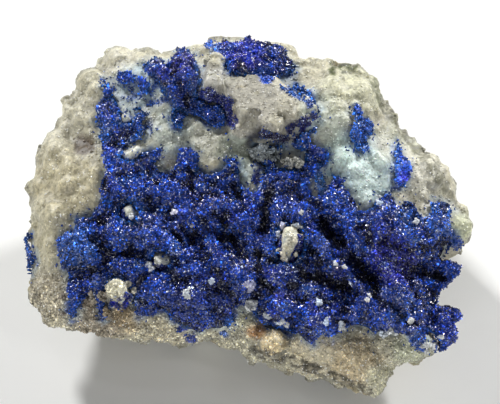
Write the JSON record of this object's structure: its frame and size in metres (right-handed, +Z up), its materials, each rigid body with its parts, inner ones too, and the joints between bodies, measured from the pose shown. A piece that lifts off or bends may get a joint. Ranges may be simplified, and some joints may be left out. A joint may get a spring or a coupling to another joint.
{
  "type": "mineral specimen",
  "caption": "Rounded slab of quartz-coated rock with blue linarite crusts grown over its upper face and a flat broken base to rest on.",
  "frame": {"origin": "middle of the flat base, under the middle of the specimen's bounding box", "axes": "+X along the specimen's long side, to the right as the picture shows it; +Y away from the side that faces the viewer; +Z up"},
  "size_m": [0.072, 0.0562, 0.0313],
  "materials": {
    "quartz": "sugary white and grey-green quartz",
    "linarite": "deep blue sparkling crystal crust"
  },
  "bodies": {
    "root": {"quartz_matrix": "quartz", "linarite_main_crust": "linarite", "linarite_crown": "linarite", "linarite_shoulder": "linarite", "linarite_left_tip": "linarite", "linarite_sprig": "linarite", "linarite_streak": "linarite", "linarite_bead": "linarite", "linarite_strand": "linarite"}
  },
  "joints": []
}
